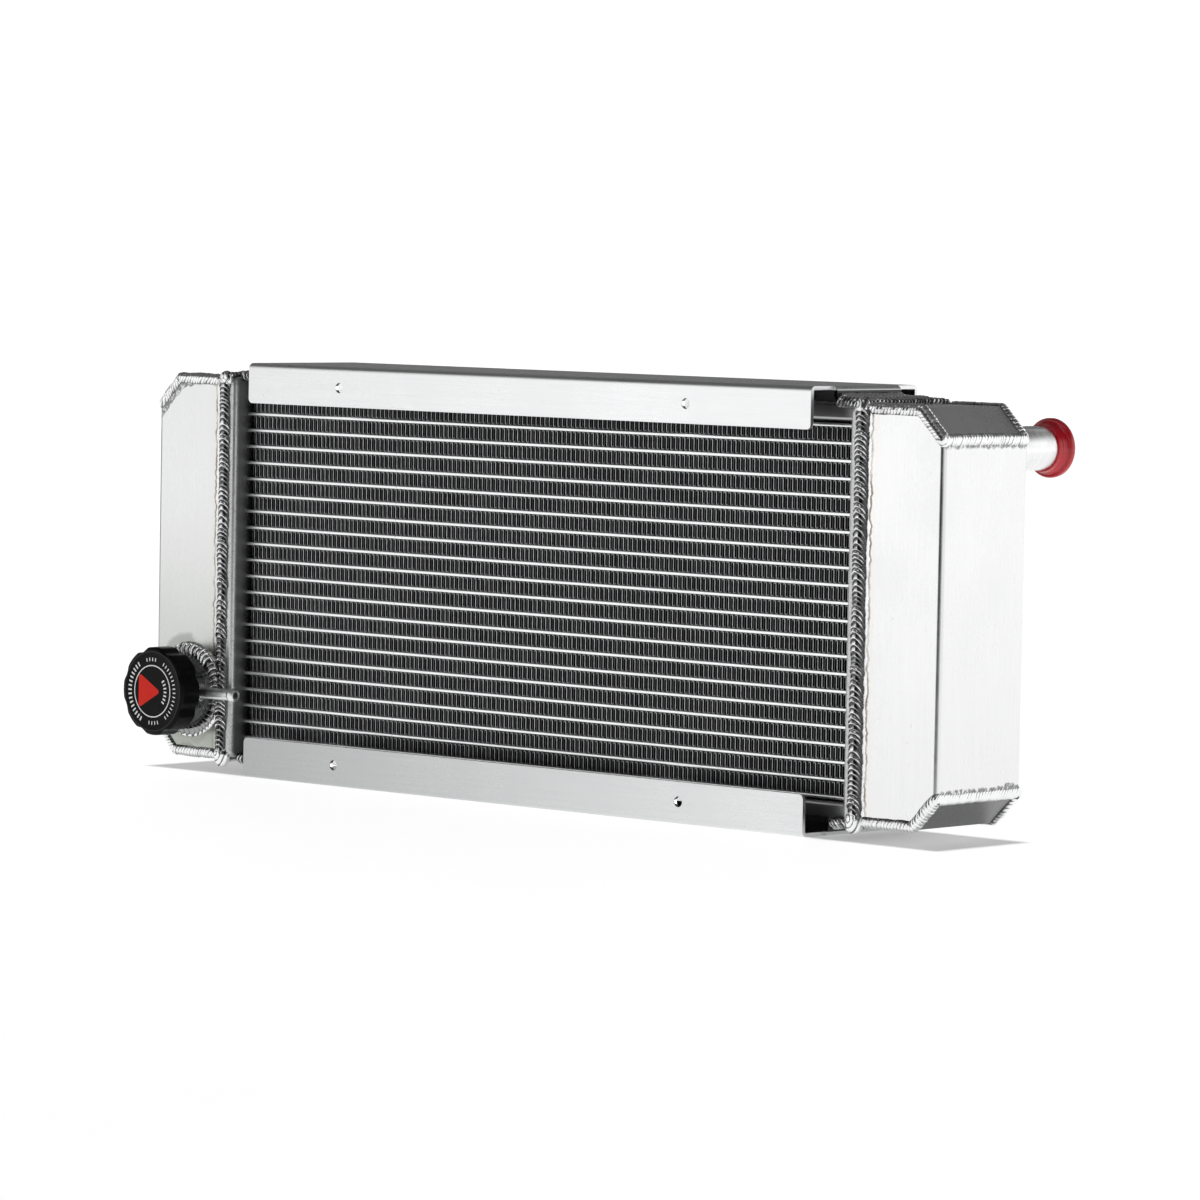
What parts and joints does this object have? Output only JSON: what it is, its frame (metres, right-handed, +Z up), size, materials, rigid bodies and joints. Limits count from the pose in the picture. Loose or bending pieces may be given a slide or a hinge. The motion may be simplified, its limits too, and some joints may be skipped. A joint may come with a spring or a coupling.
{
  "type": "car radiator",
  "caption": "Welded aluminium cross-flow car radiator: flat tubes and fins between two tanks, pressure cap, side nipple and plugged hose pipes.",
  "frame": {"origin": "middle of the bottom channel's underside", "axes": "+X along the core to the outlet tank, -Y front face with the filler neck, +Y back face with the hose pipes, +Z up"},
  "size_m": [0.634, 0.1686, 0.254],
  "materials": {
    "brushed_sheet": "rolled and lightly brushed sheet, TIG welded",
    "bright_tube": "bright extruded tube",
    "dark_fin": "dark coated thin foil",
    "machined_neck": "turned and welded",
    "black_anodised": "satin black anodised, printed face",
    "red_plastic": "glossy moulded",
    "spring_steel": "drawn and pressed steel",
    "valve_brass": "turned"
  },
  "bodies": {
    "root": {"core_tube_01": "bright_tube", "core_tube_02": "bright_tube", "core_tube_03": "bright_tube", "core_tube_04": "bright_tube", "core_tube_05": "bright_tube", "core_tube_06": "bright_tube", "core_tube_07": "bright_tube", "core_tube_08": "bright_tube", "core_tube_09": "bright_tube", "core_tube_10": "bright_tube", "core_tube_11": "bright_tube", "core_tube_12": "bright_tube", "core_tube_13": "bright_tube", "core_tube_14": "bright_tube", "core_tube_15": "bright_tube", "core_tube_16": "bright_tube", "core_tube_17": "bright_tube", "core_tube_18": "bright_tube", "core_tube_19": "bright_tube", "core_tube_20": "bright_tube", "core_tube_21": "bright_tube", "core_tube_22": "bright_tube", "fin_row_01": "dark_fin", "fin_row_02": "dark_fin", "fin_row_03": "dark_fin", "fin_row_04": "dark_fin", "fin_row_05": "dark_fin", "fin_row_06": "dark_fin", "fin_row_07": "dark_fin", "fin_row_08": "dark_fin", "fin_row_09": "dark_fin", "fin_row_10": "dark_fin", "fin_row_11": "dark_fin", "fin_row_12": "dark_fin", "fin_row_13": "dark_fin", "fin_row_14": "dark_fin", "fin_row_15": "dark_fin", "fin_row_16": "dark_fin", "fin_row_17": "dark_fin", "fin_row_18": "dark_fin", "fin_row_19": "dark_fin", "fin_row_20": "dark_fin", "fin_row_21": "dark_fin", "side_plate_top": "brushed_sheet", "side_plate_bottom": "brushed_sheet", "header_left": "brushed_sheet", "header_right": "brushed_sheet", "tank_left": "brushed_sheet", "tank_right": "brushed_sheet", "channel_top": "brushed_sheet", "channel_bottom": "brushed_sheet", "inlet_pipe": "brushed_sheet", "outlet_pipe": "brushed_sheet", "filler_neck": "machined_neck"},
    "cap_spring": {"cap_spring": "spring_steel"},
    "cap_shell": {"cap_shell": "black_anodised"},
    "pressure_valve": {"pressure_valve": "spring_steel"},
    "vacuum_valve": {"vacuum_valve": "valve_brass"},
    "inlet_plug": {"inlet_plug": "red_plastic"},
    "outlet_plug": {"outlet_plug": "red_plastic"}
  },
  "joints": [
    {"name": "cap_lift", "type": "slide", "parent": "root", "child": "cap_spring", "axis": [0, -1, 0], "range_m": [0, 0.045]},
    {"name": "cap_turn", "type": "hinge", "parent": "cap_spring", "child": "cap_shell", "pos_m": [-0.2855, -0.069, 0.0498], "axis": [0, -1, 0], "range_deg": [0, 90]},
    {"name": "pressure_valve_travel", "type": "slide", "parent": "cap_spring", "child": "pressure_valve", "axis": [0, -1, 0], "range_m": [0, 0.003], "stiffness_N_per_m": 1500, "deforming": ["cap_spring"]},
    {"name": "vacuum_valve_travel", "type": "slide", "parent": "pressure_valve", "child": "vacuum_valve", "axis": [0, 1, 0], "range_m": [0, 0.0015], "stiffness_N_per_m": 50},
    {"name": "inlet_plug_pull", "type": "slide", "parent": "root", "child": "inlet_plug", "axis": [0, 1, 0], "range_m": [0, 0.03]},
    {"name": "outlet_plug_pull", "type": "slide", "parent": "root", "child": "outlet_plug", "axis": [0, 1, 0], "range_m": [0, 0.03]}
  ]
}
